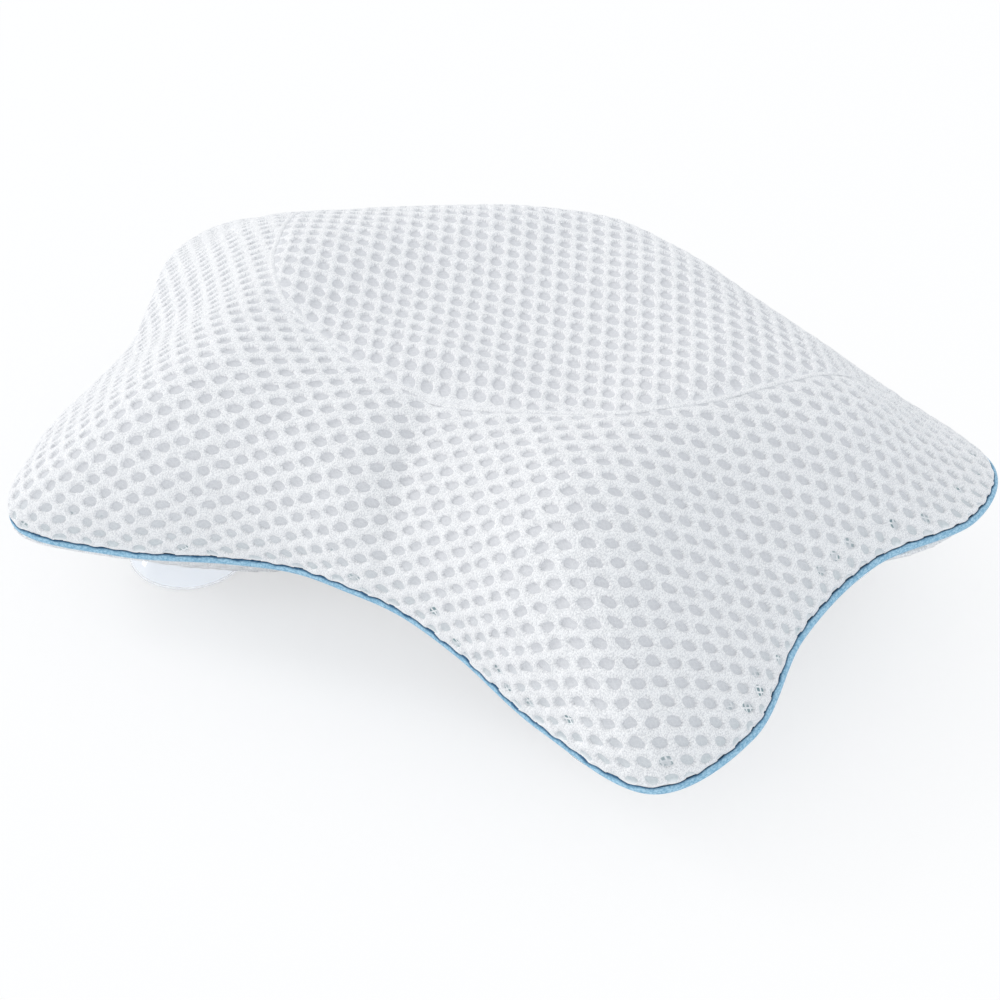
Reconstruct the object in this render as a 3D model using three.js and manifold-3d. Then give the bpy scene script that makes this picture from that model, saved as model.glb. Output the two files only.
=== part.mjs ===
// Bath pillow: a crowned cushion with four lobes in an open knitted mesh cover, with a piped edge
// and six suction cups under it. Millimetres, +Z up. The neck edge faces -Y, the cushion is even
// to either side of X = 0, and the rims of the cups stand on Z = 0.

import * as THREE from 'three';
import { mergeVertices } from 'three/addons/utils/BufferGeometryUtils.js';
import Module from 'manifold-3d';

const wasm = await Module();
wasm.setup();

// Clearance between pieces that touch
const fitGap = 0.3;

// Cushion outline, on the centre line of the piping
const pillowLength = 415.6;
const pillowDepth = 283.5;
const pipingHeight = 50;

// Right half of the outline from the middle of the back to the middle of the front: places across
// and front to back as shares of half the length and depth, height as a share of pipingHeight
const outlineShares = [
  [0, 1, 1.04],
  [0.21, 0.98, 0.96],
  [0.42, 0.94, 0.85],
  [0.61, 0.9, 0.84],
  [0.81, 0.83, 0.9],
  [0.96, 0.66, 1.01],
  [0.985, 0.345, 1.13],
  [0.865, -0.01, 1.185],
  [0.815, -0.355, 1.08],
  [0.825, -0.72, 0.925],
  [0.725, -0.995, 0.845],
  [0.485, -0.945, 0.845],
  [0.265, -0.835, 0.92],
  [0.12, -0.8, 1.01],
  [0, -0.805, 1.05],
];

// Crown of the top over the piping, as shares of crownHeight: rows run from the front edge to the
// back, columns from the middle line to the side
const crownHeight = 72;
const crownShares = [
  [1.5, 1.25, 0.95, 0.6, 0.25],
  [1.25, 1.1, 1, 0.6, 0.2],
  [1, 0.95, 1, 0.58, 0.15],
  [0.87, 0.88, 0.98, 0.73, 0.12],
  [0.87, 0.91, 0.92, 0.77, 0.18],
  [0.97, 1.05, 0.86, 0.52, 0.24],
  [1.35, 1.12, 0.7, 0.35, 0.16],
];

// Crease that runs down the front between the two shoulder lobes
const creaseDepth = 46;
const creaseHalfWidth = 70;
const creaseRounding = 3;
const creaseLean = 19;
const creaseStart = -25;
const creaseRun = 95;
const creaseDeepeningShare = 1.3;
const creaseLimitShare = 1.3;

// Seam of the head panel, right half from the middle line to past the back edge, as shares of half
// the length and depth
const seamShares = [
  [0, -0.345],
  [0.13, -0.33],
  [0.26, -0.285],
  [0.38, -0.195],
  [0.48, -0.08],
  [0.57, 0.06],
  [0.645, 0.21],
  [0.705, 0.36],
  [0.75, 0.55],
  [0.785, 0.8],
  [0.81, 1.15],
];

// Cover
const coverThickness = 3;
const baseRun = 50;
const lobeRollShare = 0.6;

// Piping: a tape folded round a cord, its two legs sewn between the panels
const cordRadius = 0.8;
const tapeThickness = 0.55;
const tapeSlit = 0.3;
const tapeLeg = 6;

// Filling
const padThickness = 20;
const fillRimShare = 0.91;
const padRimShare = 0.75;

// Suction cups
const cupRadius = 27.5;
const cupRimWidth = 2.2;
const cupRimThickness = 1.2;
const cupBellHeight = 13.2;
const cupHollowHeight = 8;
const cupShoulderRadius = 8;
const cupNeckRadius = 4;
const cupHeadRadius = 7.5;
const cupHeadHeight = 5;
const cupHollowShares = [[0.47, 0.9], [0.79, 0.58]];
const cupBellShares = [[0.83, 0.22], [0.47, 0.62], [0.08, 0.92]];
const cupHeadShares = [[1, 0.4], [0.68, 0.84]];

// Cups under the lobes, in from the edge of the flat middle of the base, each towards a place
// given as shares of half the length and depth
const cupSeatInset = 21;
const lobeCupShares = {
  back_right: [0.67, 0.455],
  front_right: [0.53, -0.56],
  front_left: [-0.53, -0.56],
  back_left: [-0.67, 0.455],
};

// Cups on the middle line, as shares of half the length and depth
const middleCupShares = {
  middle_front: [0, -0.16],
  middle_back: [0, 0.48],
};

// Eyelets that hold the cups in the base panel, each with its washer
const eyeletClearance = 0.5;
const eyeletWall = 1.1;
const eyeletRadius = 9;
const eyeletFlange = 0.8;
const eyeletLip = 0.5;
const eyeletLipReach = 1;
const washerThickness = 0.8;
const pocketClearance = 1;

// Smoothness
const stationCount = 64;
const outlineSampleCount = 720;
const seamStepCount = 40;
const topRingShares = [0.2, 0.38, 0.54, 0.68, 0.8, 0.91, 0.97, 1];
const baseRingShares = [0, 0.45, 0.75, 1];
const pipingSideCount = 6;
const roundSideCount = 16;
const cutOverrun = 20;

// Sizes that follow
const halfLength = pillowLength / 2;
const halfDepth = pillowDepth / 2;
const pipingRadius = cordRadius + fitGap + tapeThickness;
const tapeHalf = tapeSlit / 2 + tapeThickness;
const rimInset = pipingRadius + fitGap;
const rimLift = tapeHalf + fitGap;
const eyeletBore = cupNeckRadius + eyeletClearance;
const eyeletBarrel = eyeletBore + eyeletWall;
const flangeBottom = cupBellHeight + fitGap;
const baseHeight = flangeBottom + eyeletFlange + fitGap;
const washerBottom = baseHeight + coverThickness + fitGap;
const lipBottom = washerBottom + washerThickness + fitGap;
const headBottom = lipBottom + eyeletLip + fitGap;
const headTop = headBottom + cupHeadHeight;
const padTop = washerBottom + padThickness;
const pocketRadius = Math.max(eyeletRadius, cupHeadRadius) + pocketClearance;
const cutTop = pipingHeight + crownHeight * 2;

const mesh3d = new THREE.MeshStandardMaterial({ color: 0xf2f4f7, roughness: 0.95, metalness: 0 });
const pipingBlue = new THREE.MeshStandardMaterial({ color: 0x8cc3e6, roughness: 0.85, metalness: 0 });
const cordWhite = new THREE.MeshStandardMaterial({ color: 0xe8eaec, roughness: 0.9, metalness: 0 });
const fibreWhite = new THREE.MeshStandardMaterial({ color: 0xf6f6f4, roughness: 1, metalness: 0 });
const padWhite = new THREE.MeshStandardMaterial({ color: 0xdfe3e6, roughness: 1, metalness: 0 });
const clearVinyl = new THREE.MeshStandardMaterial({
  color: 0xdfeef5, roughness: 0.15, metalness: 0, transparent: true, opacity: 0.4,
});
const eyeletWhite = new THREE.MeshStandardMaterial({ color: 0xeef1f3, roughness: 0.4, metalness: 0 });

function spline(a, b, c, d, t) {
  const linear = (c - a) * t;
  const square = (2 * a - 5 * b + 4 * c - d) * t * t;
  const cube = (3 * b - a - 3 * c + d) * t * t * t;
  return b + (linear + square + cube) / 2;
}

// The piping's centre line, scaled so that it measures the named length and depth
function outlineStations() {
  const right = outlineShares.map(([across, along, height]) => (
    new THREE.Vector3(across * halfLength, along * halfDepth, height * pipingHeight)
  ));
  const left = right.slice(1, -1).reverse().map((p) => new THREE.Vector3(-p.x, p.y, p.z));
  const curve = new THREE.CatmullRomCurve3([...right, ...left], true);
  curve.arcLengthDivisions = outlineSampleCount;
  const box = new THREE.Box3().setFromPoints(curve.getPoints(outlineSampleCount));
  const size = box.getSize(new THREE.Vector3());
  const middle = box.getCenter(new THREE.Vector3());
  return curve.getSpacedPoints(stationCount).slice(0, stationCount).map((p) => new THREE.Vector3(
    (p.x - middle.x) * pillowLength / size.x,
    (p.y - middle.y) * pillowDepth / size.y,
    p.z,
  ));
}

const stations = outlineStations();
const outwards = stations.map((_, j) => {
  const before = stations[(j + stationCount - 1) % stationCount];
  const after = stations[(j + 1) % stationCount];
  return new THREE.Vector2(before.y - after.y, after.x - before.x).normalize();
});
const reaches = stations.map((p) => Math.hypot(p.x, p.y));
const leastReach = Math.min(...reaches);
const mostReach = Math.max(...reaches);

function crownAt(x, y) {
  const rows = crownShares.length - 1;
  const columns = crownShares[0].length - 1;
  const along = THREE.MathUtils.clamp((y / halfDepth + 1) / 2, 0, 1) * rows;
  const across = Math.min(Math.abs(x) / halfLength, 1) * columns;
  const row = Math.min(Math.floor(along), rows - 1);
  const column = Math.min(Math.floor(across), columns - 1);
  const share = (i, j) => (
    crownShares[THREE.MathUtils.clamp(i, 0, rows)][Math.min(Math.abs(j), columns)]
  );
  const rowShare = (i) => {
    const near = [-1, 0, 1, 2].map((step) => share(i, column + step));
    return spline(...near, across - column);
  };
  const near = [-1, 0, 1, 2].map((step) => rowShare(row + step));
  return crownHeight * spline(...near, along - row);
}

function creaseAt(x, y) {
  const progress = Math.max((creaseStart - y) / creaseRun, 0);
  const offset = x - creaseLean * Math.min(progress, creaseLimitShare);
  const distance = Math.hypot(offset, creaseRounding) - creaseRounding;
  const nearness = Math.max(1 - distance / creaseHalfWidth, 0);
  const deepening = Math.min(progress, creaseLimitShare) ** creaseDeepeningShare;
  return creaseDepth * deepening * nearness * nearness;
}

// The place of a panel's rim at a station, set in from the outer skin
function rimPlace(j, inset) {
  const { x, y } = stations[j];
  return new THREE.Vector2(x, y).addScaledVector(outwards[j], -rimInset - inset);
}

// A point of the top, from the middle (share 0) to the rim (share 1)
function topPoint(j, share, inset) {
  const { x, y } = rimPlace(j, inset).multiplyScalar(share);
  const level = THREE.MathUtils.lerp(pipingHeight, stations[j].z, share * share) + rimLift;
  const rise = crownAt(x, y) - creaseAt(x, y) - inset;
  return new THREE.Vector3(x, y, level + rise * Math.sqrt(1 - share ** 3));
}

// A point of the underside, from the edge of its flat middle (share 0) to the rim (share 1)
function basePoint(j, share, inset) {
  const edge = new THREE.Vector2(stations[j].x, stations[j].y);
  const { x, y } = edge.setLength(reaches[j] - baseRun).lerp(rimPlace(j, inset), share);
  const lobeShare = (reaches[j] - leastReach) / (mostReach - leastReach);
  const rise = stations[j].z - rimLift - baseHeight - inset;
  return new THREE.Vector3(x, y, baseHeight + inset + rise * share ** (1 + lobeShare * lobeRollShare));
}

const topLoop = (share, inset) => stations.map((_, j) => topPoint(j, share, inset));
const baseLoop = (share, inset) => stations.map((_, j) => basePoint(j, share, inset));
const shifted = (loop, lift) => loop.map((p) => new THREE.Vector3(p.x, p.y, p.z + lift));

// One closed body from loops of points in order; a loop of one point is a pole. Each four-sided
// face is split along its shorter diagonal, so that nested skins are split alike.
function joinLoops(loops, ring = false) {
  const positions = [];
  const indices = [];
  const starts = [];
  for (const loop of loops) {
    starts.push(positions.length / 3);
    loop.forEach((p) => positions.push(p.x, p.y, p.z));
  }
  const spans = ring ? loops.length : loops.length - 1;
  for (let i = 0; i < spans; i += 1) {
    const next = (i + 1) % loops.length;
    const [from, to] = [loops[i], loops[next]];
    const at = (row, loop, j) => starts[row] + (j % loop.length);
    for (let j = 0; j < stationCount; j += 1) {
      const [a, b] = [at(i, from, j), at(i, from, j + 1)];
      const [c, d] = [at(next, to, j), at(next, to, j + 1)];
      const ahead = (j + 1) % stationCount;
      if (to.length === 1) {
        indices.push(a, b, c);
      } else if (from.length === 1) {
        indices.push(a, d, c);
      } else if (from[j].distanceTo(to[ahead]) < from[ahead].distanceTo(to[j])) {
        indices.push(a, d, c, a, b, d);
      } else {
        indices.push(a, b, c, b, d, c);
      }
    }
  }
  const geometry = new THREE.BufferGeometry();
  geometry.setAttribute('position', new THREE.Float32BufferAttribute(positions, 3));
  geometry.setIndex(indices);
  return geometry;
}

function toSolid(geometry) {
  const bare = geometry.clone();
  bare.deleteAttribute('normal');
  bare.deleteAttribute('uv');
  const merged = mergeVertices(bare);
  return new wasm.Manifold(new wasm.Mesh({
    numProp: 3,
    vertProperties: new Float32Array(merged.attributes.position.array),
    triVerts: new Uint32Array(merged.index.array),
  }));
}

function toGeometry(solid) {
  const { numProp, vertProperties, triVerts } = solid.getMesh();
  const geometry = new THREE.BufferGeometry();
  geometry.setAttribute('position', new THREE.BufferAttribute(new Float32Array(vertProperties), numProp));
  geometry.setIndex(new THREE.BufferAttribute(new Uint32Array(triVerts), 1));
  geometry.computeVertexNormals();
  return geometry;
}

function boxSolid(low, high) {
  const size = new THREE.Vector3().subVectors(high, low);
  const box = new THREE.BoxGeometry(size.x, size.y, size.z);
  box.translate((low.x + high.x) / 2, (low.y + high.y) / 2, (low.z + high.z) / 2);
  return toSolid(box);
}

function drumSolid([x, y], radius, low, high) {
  const drum = new THREE.CylinderGeometry(radius, radius, high - low, roundSideCount);
  drum.rotateX(Math.PI / 2);
  drum.translate(x, y, (low + high) / 2);
  return toSolid(drum);
}

// The upright prism under the head panel; grow moves its walls outwards
function headPrism(grow) {
  const right = seamShares.map(([across, along]) => (
    new THREE.Vector2(across * halfLength, along * halfDepth)
  ));
  const left = right.slice(1).reverse().map((p) => new THREE.Vector2(-p.x, p.y));
  const curve = new THREE.SplineCurve([...left, ...right]);
  const shape = new THREE.Shape();
  for (let i = 0; i <= seamStepCount; i += 1) {
    const point = curve.getPointAt(i / seamStepCount);
    const along = curve.getTangentAt(i / seamStepCount);
    const x = point.x + along.y * grow;
    const y = point.y - along.x * grow;
    if (i === 0) shape.moveTo(x, y);
    else shape.lineTo(x, y);
  }
  shape.closePath();
  return toSolid(new THREE.ExtrudeGeometry(shape, { depth: cutTop, bevelEnabled: false }));
}

function topShell() {
  const pole = (inset) => [topPoint(0, 0, inset)];
  const outer = topRingShares.map((share) => topLoop(share, 0));
  const inner = topRingShares.map((share) => topLoop(share, coverThickness)).reverse();
  return toSolid(joinLoops([pole(0), ...outer, ...inner, pole(coverThickness)]));
}

function headPanel() {
  return toGeometry(topShell().intersect(headPrism(-fitGap / 2)));
}

function frontPanel() {
  return toGeometry(topShell().subtract(headPrism(fitGap / 2)));
}

function cupPlaces() {
  const lobes = Object.entries(lobeCupShares).map(([name, [across, along]]) => {
    const spot = new THREE.Vector2(across * halfLength, along * halfDepth);
    const nearness = stations.map((p, j) => (p.x * spot.x + p.y * spot.y) / reaches[j]);
    const reach = reaches[nearness.indexOf(Math.max(...nearness))];
    return { name, place: spot.setLength(reach - baseRun - cupSeatInset).toArray() };
  });
  const middle = Object.entries(middleCupShares).map(([name, [across, along]]) => (
    { name, place: [across * halfLength, along * halfDepth] }
  ));
  return [...lobes, ...middle];
}

function basePanel() {
  const pole = (inset) => [new THREE.Vector3(0, 0, baseHeight + inset)];
  const outer = baseRingShares.map((share) => baseLoop(share, 0));
  const inner = baseRingShares.map((share) => baseLoop(share, coverThickness)).reverse();
  const loops = [pole(0), ...outer, ...inner, pole(coverThickness)].reverse();
  let shell = toSolid(joinLoops(loops));
  for (const { place } of cupPlaces()) {
    const hole = drumSolid(place, eyeletBarrel + fitGap, flangeBottom, lipBottom);
    shell = shell.subtract(hole);
  }
  return toGeometry(shell);
}

// A section of the piping, given as places out and up from the cord's centre, swept round
function sweepPiping(section) {
  const loops = section.map(([out, up]) => stations.map((station, j) => new THREE.Vector3(
    station.x + outwards[j].x * out,
    station.y + outwards[j].y * out,
    station.z + up,
  )));
  return joinLoops(loops, true);
}

function arcPoints(radius, start, sweep, steps) {
  return Array.from({ length: steps + 1 }, (_, i) => {
    const angle = start + sweep * i / steps;
    return [Math.cos(angle) * radius, Math.sin(angle) * radius];
  });
}

function pipingCover() {
  const outerAngle = Math.asin(tapeHalf / pipingRadius);
  const innerRadius = cordRadius + fitGap;
  const innerAngle = Math.asin(tapeSlit / 2 / innerRadius);
  const outer = arcPoints(pipingRadius, Math.PI - outerAngle, -2 * (Math.PI - outerAngle), pipingSideCount);
  const inner = arcPoints(innerRadius, innerAngle - Math.PI, 2 * (Math.PI - innerAngle), pipingSideCount);
  const legEnd = -pipingRadius - tapeLeg;
  return sweepPiping([
    [legEnd, tapeSlit / 2],
    [legEnd, tapeHalf],
    ...outer,
    [legEnd, -tapeHalf],
    [legEnd, -tapeSlit / 2],
    ...inner,
  ]);
}

function pipingCord() {
  return sweepPiping(arcPoints(cordRadius, 0, -2 * Math.PI, pipingSideCount).slice(0, pipingSideCount));
}

// The space inside the cover, clear of the piping's legs
function cavity() {
  const top = topRingShares.filter((share) => share <= fillRimShare)
    .map((share) => shifted(topLoop(share, coverThickness), -fitGap));
  const base = baseRingShares.filter((share) => share <= padRimShare)
    .map((share) => shifted(baseLoop(share, coverThickness), fitGap)).reverse();
  const topPole = shifted([topPoint(0, 0, coverThickness)], -fitGap);
  const basePole = [new THREE.Vector3(0, 0, washerBottom)];
  return toSolid(joinLoops([topPole, ...top, ...base, basePole]));
}

function slab(lowX, highX, lowZ, highZ) {
  const reach = halfDepth + cutOverrun;
  return boxSolid(new THREE.Vector3(lowX, -reach, lowZ), new THREE.Vector3(highX, reach, highZ));
}

function basePad() {
  const wide = halfLength + cutOverrun;
  let pad = cavity().intersect(slab(-wide, wide, 0, padTop));
  for (const { place } of cupPlaces()) {
    const pocket = drumSolid(place, pocketRadius, 0, headTop + pocketClearance);
    pad = pad.subtract(pocket);
  }
  return toGeometry(pad);
}

function headFill() {
  const wide = halfLength + cutOverrun;
  const upper = slab(-wide, wide, padTop + fitGap, cutTop);
  return toGeometry(cavity().intersect(upper).intersect(headPrism(-fitGap / 2)));
}

function wingFill(side) {
  const near = fitGap / 2;
  const far = halfLength + cutOverrun;
  const half = side > 0 ? [near, far] : [-far, -near];
  const upper = slab(...half, padTop + fitGap, cutTop);
  return toGeometry(cavity().intersect(upper).subtract(headPrism(fitGap / 2)));
}

function lathe(profile) {
  const points = profile.map(([radius, height]) => new THREE.Vector2(radius, height));
  const geometry = new THREE.LatheGeometry(points, roundSideCount);
  geometry.rotateX(Math.PI / 2);
  return geometry;
}

function suctionCup() {
  const innerRadius = cupRadius - cupRimWidth;
  const bellRise = cupBellHeight - cupRimThickness;
  return lathe([
    [0, cupHollowHeight],
    ...cupHollowShares.map(([out, up]) => [innerRadius * out, cupHollowHeight * up]),
    [innerRadius, 0],
    [cupRadius, 0],
    [cupRadius, cupRimThickness],
    ...cupBellShares.map(([out, up]) => [
      THREE.MathUtils.lerp(cupShoulderRadius, cupRadius, out),
      cupRimThickness + bellRise * up,
    ]),
    [cupShoulderRadius, cupBellHeight],
    [cupNeckRadius, cupBellHeight],
    [cupNeckRadius, headBottom],
    [cupHeadRadius, headBottom],
    ...cupHeadShares.map(([out, up]) => [cupHeadRadius * out, headBottom + cupHeadHeight * up]),
    [0, headTop],
  ]);
}

function eyelet() {
  const flangeTop = flangeBottom + eyeletFlange;
  const lipTop = lipBottom + eyeletLip;
  return lathe([
    [eyeletBore, flangeBottom],
    [eyeletRadius, flangeBottom],
    [eyeletRadius, flangeTop],
    [eyeletBarrel, flangeTop],
    [eyeletBarrel, lipBottom],
    [eyeletBarrel + eyeletLipReach, lipBottom],
    [eyeletBarrel + eyeletLipReach, lipTop],
    [eyeletBore, lipTop],
    [eyeletBore, flangeBottom],
  ]);
}

function washer() {
  const bore = eyeletBarrel + fitGap;
  const top = washerBottom + washerThickness;
  return lathe([
    [bore, washerBottom],
    [eyeletRadius, washerBottom],
    [eyeletRadius, top],
    [bore, top],
    [bore, washerBottom],
  ]);
}

function addPiece(parent, name, geometry, material) {
  const mesh = new THREE.Mesh(geometry, material);
  mesh.name = name;
  parent.add(mesh);
}

const pillow = new THREE.Group();
addPiece(pillow, 'front_panel', frontPanel(), mesh3d);
addPiece(pillow, 'head_panel', headPanel(), mesh3d);
addPiece(pillow, 'base_panel', basePanel(), mesh3d);
addPiece(pillow, 'piping_cover', pipingCover(), pipingBlue);
addPiece(pillow, 'piping_cord', pipingCord(), cordWhite);
addPiece(pillow, 'base_pad', basePad(), padWhite);
addPiece(pillow, 'head_fill', headFill(), fibreWhite);
addPiece(pillow, 'left_wing_fill', wingFill(-1), fibreWhite);
addPiece(pillow, 'right_wing_fill', wingFill(1), fibreWhite);

for (const { name, place: [x, y] } of cupPlaces()) {
  const spot = new THREE.Group();
  spot.position.set(x, y, 0);
  addPiece(spot, `suction_cup_${name}`, suctionCup(), clearVinyl);
  addPiece(spot, `eyelet_${name}`, eyelet(), eyeletWhite);
  addPiece(spot, `washer_${name}`, washer(), eyeletWhite);
  pillow.add(spot);
}

export default pillow;
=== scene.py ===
"""Looks of the bath pillow: an open knitted mesh cover over a crowned cushion with a piped edge
and six clear suction cups. Lengths are in millimetres until a mesh is made; +Z is up, the neck
edge faces -Y and the rims of the cups stand on Z = 0."""

import math

import bpy
import numpy as np
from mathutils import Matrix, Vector
from mathutils.bvhtree import BVHTree


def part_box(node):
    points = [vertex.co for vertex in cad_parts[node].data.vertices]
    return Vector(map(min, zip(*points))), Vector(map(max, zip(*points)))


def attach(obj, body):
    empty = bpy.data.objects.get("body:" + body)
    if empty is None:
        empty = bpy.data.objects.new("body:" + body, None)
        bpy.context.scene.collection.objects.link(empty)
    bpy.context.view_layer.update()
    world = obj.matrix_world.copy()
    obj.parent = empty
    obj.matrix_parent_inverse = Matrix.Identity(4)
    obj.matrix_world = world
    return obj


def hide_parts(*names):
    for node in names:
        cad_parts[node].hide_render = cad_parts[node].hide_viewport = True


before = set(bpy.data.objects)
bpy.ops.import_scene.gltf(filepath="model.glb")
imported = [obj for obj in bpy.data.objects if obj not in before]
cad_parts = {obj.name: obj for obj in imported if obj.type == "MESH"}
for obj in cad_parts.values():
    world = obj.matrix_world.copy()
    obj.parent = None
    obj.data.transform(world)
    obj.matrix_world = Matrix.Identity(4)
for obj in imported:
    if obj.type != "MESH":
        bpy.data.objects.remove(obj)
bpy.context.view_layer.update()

MM = 0.001
rng = np.random.default_rng(7)

# Sizes shared with the CAD model
FIT_GAP = 0.3
PILLOW_LENGTH = 415.6
PILLOW_DEPTH = 283.5
PIPING_HEIGHT = 50.0
HALF_LENGTH = PILLOW_LENGTH / 2
HALF_DEPTH = PILLOW_DEPTH / 2
# The piping's right half from the back middle to the front middle: x, y and height, as shares of
# half the length, half the depth and PIPING_HEIGHT
OUTLINE_SHARES = [
    (0, 1, 1.04),
    (0.21, 0.98, 0.96),
    (0.42, 0.94, 0.85),
    (0.61, 0.9, 0.84),
    (0.81, 0.83, 0.9),
    (0.96, 0.66, 1.01),
    (0.985, 0.345, 1.13),
    (0.865, -0.01, 1.185),
    (0.815, -0.355, 1.08),
    (0.825, -0.72, 0.925),
    (0.725, -0.995, 0.845),
    (0.485, -0.945, 0.845),
    (0.265, -0.835, 0.92),
    (0.12, -0.8, 1.01),
    (0, -0.805, 1.05),
]
# The stuffed top's rise over its edge: rows from the front to the back, columns from the middle to
# a side, as shares of CROWN_HEIGHT
CROWN_HEIGHT = 72.0
CROWN_SHARES = np.array(
    [
        (1.5, 1.25, 0.95, 0.6, 0.25),
        (1.25, 1.1, 1, 0.6, 0.2),
        (1, 0.95, 1, 0.58, 0.15),
        (0.87, 0.88, 0.98, 0.73, 0.12),
        (0.87, 0.91, 0.92, 0.77, 0.18),
        (0.97, 1.05, 0.86, 0.52, 0.24),
        (1.35, 1.12, 0.7, 0.35, 0.16),
    ]
)
# The crease in the front middle, which leans to the right and deepens from CREASE_START forward
CREASE_DEPTH = 46.0
CREASE_HALF_WIDTH = 70.0
CREASE_ROUNDING = 3.0
CREASE_LEAN = 19.0
CREASE_START = -25.0
CREASE_RUN = 95.0
CREASE_DEEPENING = 1.3
CREASE_LIMIT = 1.3
# The right half of the seam as sewn, from the middle to past the rim: up to 7 mm in front of the
# line that parts the CAD panels, and up to 12 mm further in at its ends
SEAM_SHARES = [
    (0, -0.39),
    (0.09, -0.385),
    (0.2, -0.345),
    (0.3, -0.285),
    (0.39, -0.225),
    (0.44, -0.16),
    (0.485, -0.09),
    (0.525, -0.01),
    (0.56, 0.085),
    (0.595, 0.185),
    (0.625, 0.285),
    (0.655, 0.4),
    (0.7, 0.58),
    (0.75, 0.8),
    (0.8, 1.15),
]
COVER_THICKNESS = 3.0
BASE_RUN = 50.0
CORD_RADIUS = 0.8
TAPE_THICKNESS = 0.55
TAPE_LEG = 6.0
PIPING_RADIUS = CORD_RADIUS + FIT_GAP + TAPE_THICKNESS
CUP_RADIUS = 27.5
CUP_BELL_HEIGHT = 13.2
CUP_NECK_RADIUS = 4.0
CUP_HEAD_RADIUS = 7.5
PLATE_THICKNESS = 0.8
PLATE_RADIUS = 9.0
LIP_THICKNESS = 0.5
LIP_RADIUS = 6.6
EYELET_HOLE_RADIUS = 4.5
EYELET_BARREL_RADIUS = 5.6
WASHER_HOLE_RADIUS = 5.9
BASE_HOLE_RADIUS = 6.2
FLANGE_BOTTOM = CUP_BELL_HEIGHT + FIT_GAP
BASE_HEIGHT = FLANGE_BOTTOM + PLATE_THICKNESS + FIT_GAP
HEAD_BOTTOM = BASE_HEIGHT + COVER_THICKNESS + FIT_GAP * 3 + PLATE_THICKNESS + LIP_THICKNESS
LIP_BOTTOM = HEAD_BOTTOM - FIT_GAP - LIP_THICKNESS
WASHER_BOTTOM = BASE_HEIGHT + COVER_THICKNESS + FIT_GAP
CUP_NAMES = ["front_left", "front_right", "middle_front", "middle_back", "back_left", "back_right"]


# Curves and shapes
OUTLINE_STEPS = 60
OUTLINE_COUNT = 1440
SEAM_STEPS = 24
SEAM_COUNT = 500


def closed_spline(points, steps):
    """The closed centripetal curve through points, with so many steps between each two."""
    p1 = np.asarray(points, float)
    p0, p2, p3 = (np.roll(p1, k, axis=0) for k in (1, -1, -2))
    d0, d1, d2 = (
        np.linalg.norm(b - a, axis=1, keepdims=True) ** 0.5
        for a, b in ((p0, p1), (p1, p2), (p2, p3))
    )
    t1 = ((p1 - p0) / d0 - (p2 - p0) / (d0 + d1) + (p2 - p1) / d1) * d1
    t2 = ((p2 - p1) / d1 - (p3 - p1) / (d1 + d2) + (p3 - p2) / d2) * d1
    out = []
    for w in np.arange(steps) / steps:
        cubic = (2 * p1 - 2 * p2 + t1 + t2) * w**3 + (-3 * p1 + 3 * p2 - 2 * t1 - t2) * w**2
        out.append(cubic + t1 * w + p1)
    return np.stack(out, axis=1).reshape(-1, p1.shape[1])


def spaced(points, count, closed=True):
    """The same line with its points spaced evenly."""
    line = np.vstack([points, points[:1]]) if closed else np.asarray(points, float)
    run = np.concatenate([[0], np.cumsum(np.linalg.norm(np.diff(line, axis=0), axis=1))])
    at = np.linspace(0, run[-1], count + 1 if closed else count)
    even = np.stack([np.interp(at, run, line[:, k]) for k in range(line.shape[1])], axis=1)
    return even[:-1] if closed else even


def make_outline():
    """The line of the piping, symmetric to either side."""
    scale = np.array([HALF_LENGTH, HALF_DEPTH, PIPING_HEIGHT])
    right = np.array(OUTLINE_SHARES, float) * scale
    left = right[-2:0:-1] * np.array([-1, 1, 1])
    line = closed_spline(np.vstack([right, left]), OUTLINE_STEPS)
    low, high = line.min(0), line.max(0)
    line[:, 0] *= PILLOW_LENGTH / (high[0] - low[0])
    line[:, 1] = (line[:, 1] - (high[1] + low[1]) / 2) * PILLOW_DEPTH / (high[1] - low[1])
    return spaced(line, OUTLINE_COUNT)


outline = make_outline()
along = np.roll(outline, -1, axis=0) - np.roll(outline, 1, axis=0)
outwards = np.stack([-along[:, 1], along[:, 0]], axis=1)
outwards /= np.linalg.norm(outwards, axis=1, keepdims=True)


class Polar:
    """A curve round the origin, read by its direction."""

    def __init__(self, points, level):
        angle = np.arctan2(points[:, 1], points[:, 0]) % (2 * math.pi)
        order = np.argsort(angle)
        self.angle = angle[order]
        self.radius = np.hypot(points[:, 0], points[:, 1])[order]
        self.height = level[order]

    def reach(self, angle):
        return np.interp(angle, self.angle, self.radius, period=2 * math.pi)

    def level(self, angle):
        return np.interp(angle, self.angle, self.height, period=2 * math.pi)


# The top cloth turns down over the piping: its rim lies this far out from the piping's middle,
# more on the left than on the right, and a little over the tape. The base's rim lies a little in
# from the middle and under it.
RIM_OVERLAP = 0.35
RIM_SHIFT = 0.95
RIM_SHIFT_SIDE = (0.867, 0.498)
OVERLAP_LIMITS = (-0.4, 1.25)
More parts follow.
